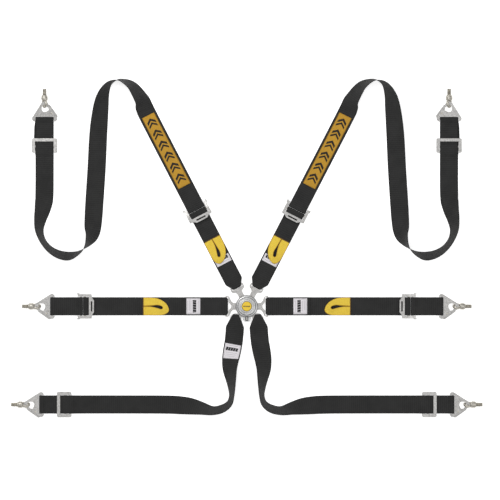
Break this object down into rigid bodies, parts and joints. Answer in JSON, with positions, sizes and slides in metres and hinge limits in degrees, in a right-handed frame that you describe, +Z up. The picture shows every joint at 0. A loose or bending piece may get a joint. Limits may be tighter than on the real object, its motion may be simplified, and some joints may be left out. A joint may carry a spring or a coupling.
{
  "type": "racing harness",
  "caption": "Racing harness laid flat: webbing straps from a round release buckle to sprung snap hooks and eye bolts, with tilt adjusters, slides and pull loops.",
  "frame": {"origin": "centre of the buckle's back face, on the surface the harness lies on", "axes": "+Y towards the shoulder straps, +X towards the right lap strap as seen from above, +Z up through the release knob"},
  "size_m": [1.2962, 0.932, 0.0503],
  "materials": {
    "black_webbing": "ribbed polyester webbing",
    "yellow_tape": "woven yellow tape",
    "gold_patch": "woven gold patch",
    "yellow_cap": "gloss",
    "cast_alloy": "satin cast alloy",
    "zinc_plate": "zinc plated",
    "steel": "zinc plated steel"
  },
  "bodies": {
    "buckle": {"buckle_back_plate": "zinc_plate", "buckle_housing": "cast_alloy", "return_spring": "steel", "lap_tongue_left": "zinc_plate", "lap_inner_webbing_left": "black_webbing"},
    "release_knob": {"release_knob": "cast_alloy", "centre_cap": "yellow_cap", "cam_shaft": "steel", "retaining_clip": "steel"},
    "latch_plate": {"latch_plate": "steel"},
    "lap_pull_loop_left": {"lap_pull_loop_left": "yellow_tape"},
    "lap_adjuster_left": {"lap_adjuster_frame_left": "zinc_plate", "lap_adjuster_bar_left": "steel"},
    "lap_outer_strap_left": {"lap_outer_webbing_left": "black_webbing"},
    "lap_hook_left": {"lap_snap_hook_left": "zinc_plate"},
    "lap_gate_left": {"lap_hook_gate_left": "zinc_plate"},
    "lap_eye_bolt_left": {"lap_eye_bolt_left": "steel"},
    "shoulder_strap_left": {"shoulder_tongue_left": "zinc_plate", "shoulder_lower_webbing_left": "black_webbing"},
    "shoulder_pull_loop_left": {"shoulder_pull_loop_left": "yellow_tape"},
    "shoulder_adjuster_left": {"shoulder_adjuster_frame_left": "zinc_plate", "shoulder_adjuster_bar_left": "steel"},
    "shoulder_upper_strap_left": {"shoulder_upper_webbing_left": "black_webbing", "shoulder_patch_left": "gold_patch", "shoulder_slide_left": "zinc_plate"},
    "shoulder_hook_left": {"shoulder_snap_hook_left": "zinc_plate"},
    "shoulder_gate_left": {"shoulder_hook_gate_left": "zinc_plate"},
    "shoulder_eye_bolt_left": {"shoulder_eye_bolt_left": "steel"},
    "crotch_strap_left": {"crotch_tongue_left": "zinc_plate", "crotch_webbing_left": "black_webbing", "crotch_slide_left": "zinc_plate"},
    "crotch_hook_left": {"crotch_snap_hook_left": "zinc_plate"},
    "crotch_gate_left": {"crotch_hook_gate_left": "zinc_plate"},
    "crotch_eye_bolt_left": {"crotch_eye_bolt_left": "steel"},
    "lap_strap_right": {"lap_tongue_right": "zinc_plate", "lap_inner_webbing_right": "black_webbing"},
    "lap_pull_loop_right": {"lap_pull_loop_right": "yellow_tape"},
    "lap_adjuster_right": {"lap_adjuster_frame_right": "zinc_plate", "lap_adjuster_bar_right": "steel"},
    "lap_outer_strap_right": {"lap_outer_webbing_right": "black_webbing"},
    "lap_hook_right": {"lap_snap_hook_right": "zinc_plate"},
    "lap_gate_right": {"lap_hook_gate_right": "zinc_plate"},
    "lap_eye_bolt_right": {"lap_eye_bolt_right": "steel"},
    "shoulder_strap_right": {"shoulder_tongue_right": "zinc_plate", "shoulder_lower_webbing_right": "black_webbing"},
    "shoulder_pull_loop_right": {"shoulder_pull_loop_right": "yellow_tape"},
    "shoulder_adjuster_right": {"shoulder_adjuster_frame_right": "zinc_plate", "shoulder_adjuster_bar_right": "steel"},
    "shoulder_upper_strap_right": {"shoulder_upper_webbing_right": "black_webbing", "shoulder_patch_right": "gold_patch", "shoulder_slide_right": "zinc_plate"},
    "shoulder_hook_right": {"shoulder_snap_hook_right": "zinc_plate"},
    "shoulder_gate_right": {"shoulder_hook_gate_right": "zinc_plate"},
    "shoulder_eye_bolt_right": {"shoulder_eye_bolt_right": "steel"},
    "crotch_strap_right": {"crotch_tongue_right": "zinc_plate", "crotch_webbing_right": "black_webbing", "crotch_slide_right": "zinc_plate"},
    "crotch_hook_right": {"crotch_snap_hook_right": "zinc_plate"},
    "crotch_gate_right": {"crotch_hook_gate_right": "zinc_plate"},
    "crotch_eye_bolt_right": {"crotch_eye_bolt_right": "steel"}
  },
  "joints": [
    {"name": "release_turn", "type": "hinge", "parent": "buckle", "child": "release_knob", "pos_m": [0, 0, 0.017], "axis": [0, 0, 1], "range_deg": [0, 40], "stiffness_Nm_per_rad": 0.6},
    {"name": "latch_lift", "type": "slide", "parent": "buckle", "child": "latch_plate", "axis": [0, 0, 1], "range_m": [0, 0.0025], "deforming": ["return_spring"]},
    {"name": "lap_pull_loop_flap_left", "type": "hinge", "parent": "buckle", "child": "lap_pull_loop_left", "pos_m": [-0.2855, 0, 0.0039], "axis": [0, -1, 0], "range_deg": [0, 90]},
    {"name": "lap_adjuster_tilt_left", "type": "hinge", "parent": "buckle", "child": "lap_adjuster_left", "pos_m": [-0.445, 0, 0.006], "axis": [0, -1, 0], "range_deg": [0, 25]},
    {"name": "lap_outer_lift_left", "type": "hinge", "parent": "lap_adjuster_left", "child": "lap_outer_strap_left", "pos_m": [-0.4556, 0, 0.0049], "axis": [0, 1, 0], "range_deg": [0, 60]},
    {"name": "lap_hook_flip_left", "type": "hinge", "parent": "lap_outer_strap_left", "child": "lap_hook_left", "pos_m": [-0.5362, 0, 0.0049], "axis": [0, 1, 0], "range_deg": [0, 70]},
    {"name": "lap_gate_open_left", "type": "hinge", "parent": "lap_hook_left", "child": "lap_gate_left", "pos_m": [-0.55095, -0.021, 0.00763], "axis": [-0.1822, 0, -0.9833], "range_deg": [0, 15], "stiffness_Nm_per_rad": 0.05},
    {"name": "lap_eye_swivel_left", "type": "hinge", "parent": "lap_hook_left", "child": "lap_eye_bolt_left", "pos_m": [-0.56845, 0, 0.012], "axis": [0, 0, 1], "range_deg": [-20, 20]},
    {"name": "shoulder_tongue_release_left", "type": "slide", "parent": "buckle", "child": "shoulder_strap_left", "axis": [-0.4602, 0.8878, 0], "range_m": [0, 0.03]},
    {"name": "shoulder_pull_loop_flap_left", "type": "hinge", "parent": "shoulder_strap_left", "child": "shoulder_pull_loop_left", "pos_m": [-0.09641, 0.186, 0.0039], "axis": [-0.8878, -0.4602, 0], "range_deg": [0, 90]},
    {"name": "shoulder_adjuster_tilt_left", "type": "hinge", "parent": "shoulder_strap_left", "child": "shoulder_adjuster_left", "pos_m": [-0.13438, 0.25924, 0.006], "axis": [-0.8878, -0.4602, 0], "range_deg": [0, 25]},
    {"name": "shoulder_upper_lift_left", "type": "hinge", "parent": "shoulder_adjuster_left", "child": "shoulder_upper_strap_left", "pos_m": [-0.13926, 0.26865, 0.0049], "axis": [0.8878, 0.4602, 0], "range_deg": [0, 60]},
    {"name": "shoulder_hook_flip_left", "type": "hinge", "parent": "shoulder_upper_strap_left", "child": "shoulder_hook_left", "pos_m": [-0.556, 0.5162, 0.0049], "axis": [1, 0, 0], "range_deg": [0, 70]},
    {"name": "shoulder_gate_open_left", "type": "hinge", "parent": "shoulder_hook_left", "child": "shoulder_gate_left", "pos_m": [-0.535, 0.53095, 0.00763], "axis": [0, -0.1822, 0.9833], "range_deg": [0, 15], "stiffness_Nm_per_rad": 0.05},
    {"name": "shoulder_eye_swivel_left", "type": "hinge", "parent": "shoulder_hook_left", "child": "shoulder_eye_bolt_left", "pos_m": [-0.556, 0.54845, 0.012], "axis": [0, 0, 1], "range_deg": [-20, 20]},
    {"name": "crotch_tongue_release_left", "type": "slide", "parent": "buckle", "child": "crotch_strap_left", "axis": [-0.6225, -0.7826, 0], "range_m": [0, 0.03]},
    {"name": "crotch_hook_flip_left", "type": "hinge", "parent": "crotch_strap_left", "child": "crotch_hook_left", "pos_m": [-0.5662, -0.27, 0.0049], "axis": [0, 1, 0], "range_deg": [0, 70]},
    {"name": "crotch_gate_open_left", "type": "hinge", "parent": "crotch_hook_left", "child": "crotch_gate_left", "pos_m": [-0.58095, -0.291, 0.00763], "axis": [-0.1822, 0, -0.9833], "range_deg": [0, 15], "stiffness_Nm_per_rad": 0.05},
    {"name": "crotch_eye_swivel_left", "type": "hinge", "parent": "crotch_hook_left", "child": "crotch_eye_bolt_left", "pos_m": [-0.59845, -0.27, 0.012], "axis": [0, 0, 1], "range_deg": [-20, 20]},
    {"name": "lap_tongue_release_right", "type": "slide", "parent": "buckle", "child": "lap_strap_right", "axis": [1, 0, 0], "range_m": [0, 0.03]},
    {"name": "lap_pull_loop_flap_right", "type": "hinge", "parent": "lap_strap_right", "child": "lap_pull_loop_right", "pos_m": [0.2855, 0, 0.0039], "axis": [0, 1, 0], "range_deg": [0, 90]},
    {"name": "lap_adjuster_tilt_right", "type": "hinge", "parent": "lap_strap_right", "child": "lap_adjuster_right", "pos_m": [0.445, 0, 0.006], "axis": [0, 1, 0], "range_deg": [0, 25]},
    {"name": "lap_outer_lift_right", "type": "hinge", "parent": "lap_adjuster_right", "child": "lap_outer_strap_right", "pos_m": [0.4556, 0, 0.0049], "axis": [0, -1, 0], "range_deg": [0, 60]},
    {"name": "lap_hook_flip_right", "type": "hinge", "parent": "lap_outer_strap_right", "child": "lap_hook_right", "pos_m": [0.5362, 0, 0.0049], "axis": [0, -1, 0], "range_deg": [0, 70]},
    {"name": "lap_gate_open_right", "type": "hinge", "parent": "lap_hook_right", "child": "lap_gate_right", "pos_m": [0.55095, -0.021, 0.00763], "axis": [-0.1822, 0, 0.9833], "range_deg": [0, 15], "stiffness_Nm_per_rad": 0.05},
    {"name": "lap_eye_swivel_right", "type": "hinge", "parent": "lap_hook_right", "child": "lap_eye_bolt_right", "pos_m": [0.56845, 0, 0.012], "axis": [0, 0, 1], "range_deg": [-20, 20]},
    {"name": "shoulder_tongue_release_right", "type": "slide", "parent": "buckle", "child": "shoulder_strap_right", "axis": [0.4602, 0.8878, 0], "range_m": [0, 0.03]},
    {"name": "shoulder_pull_loop_flap_right", "type": "hinge", "parent": "shoulder_strap_right", "child": "shoulder_pull_loop_right", "pos_m": [0.09641, 0.186, 0.0039], "axis": [-0.8878, 0.4602, 0], "range_deg": [0, 90]},
    {"name": "shoulder_adjuster_tilt_right", "type": "hinge", "parent": "shoulder_strap_right", "child": "shoulder_adjuster_right", "pos_m": [0.13438, 0.25924, 0.006], "axis": [-0.8878, 0.4602, 0], "range_deg": [0, 25]},
    {"name": "shoulder_upper_lift_right", "type": "hinge", "parent": "shoulder_adjuster_right", "child": "shoulder_upper_strap_right", "pos_m": [0.13926, 0.26865, 0.0049], "axis": [0.8878, -0.4602, 0], "range_deg": [0, 60]},
    {"name": "shoulder_hook_flip_right", "type": "hinge", "parent": "shoulder_upper_strap_right", "child": "shoulder_hook_right", "pos_m": [0.556, 0.5162, 0.0049], "axis": [1, 0, 0], "range_deg": [0, 70]},
    {"name": "shoulder_gate_open_right", "type": "hinge", "parent": "shoulder_hook_right", "child": "shoulder_gate_right", "pos_m": [0.535, 0.53095, 0.00763], "axis": [0, 0.1822, -0.9833], "range_deg": [0, 15], "stiffness_Nm_per_rad": 0.05},
    {"name": "shoulder_eye_swivel_right", "type": "hinge", "parent": "shoulder_hook_right", "child": "shoulder_eye_bolt_right", "pos_m": [0.556, 0.54845, 0.012], "axis": [0, 0, 1], "range_deg": [-20, 20]},
    {"name": "crotch_tongue_release_right", "type": "slide", "parent": "buckle", "child": "crotch_strap_right", "axis": [0.6225, -0.7826, 0], "range_m": [0, 0.03]},
    {"name": "crotch_hook_flip_right", "type": "hinge", "parent": "crotch_strap_right", "child": "crotch_hook_right", "pos_m": [0.5662, -0.27, 0.0049], "axis": [0, -1, 0], "range_deg": [0, 70]},
    {"name": "crotch_gate_open_right", "type": "hinge", "parent": "crotch_hook_right", "child": "crotch_gate_right", "pos_m": [0.58095, -0.291, 0.00763], "axis": [-0.1822, 0, 0.9833], "range_deg": [0, 15], "stiffness_Nm_per_rad": 0.05},
    {"name": "crotch_eye_swivel_right", "type": "hinge", "parent": "crotch_hook_right", "child": "crotch_eye_bolt_right", "pos_m": [0.59845, -0.27, 0.012], "axis": [0, 0, 1], "range_deg": [-20, 20]}
  ],
  "couplings": [
    {"joint": "latch_lift", "follows": "release_turn", "m_per_rad": 0.003581}
  ]
}
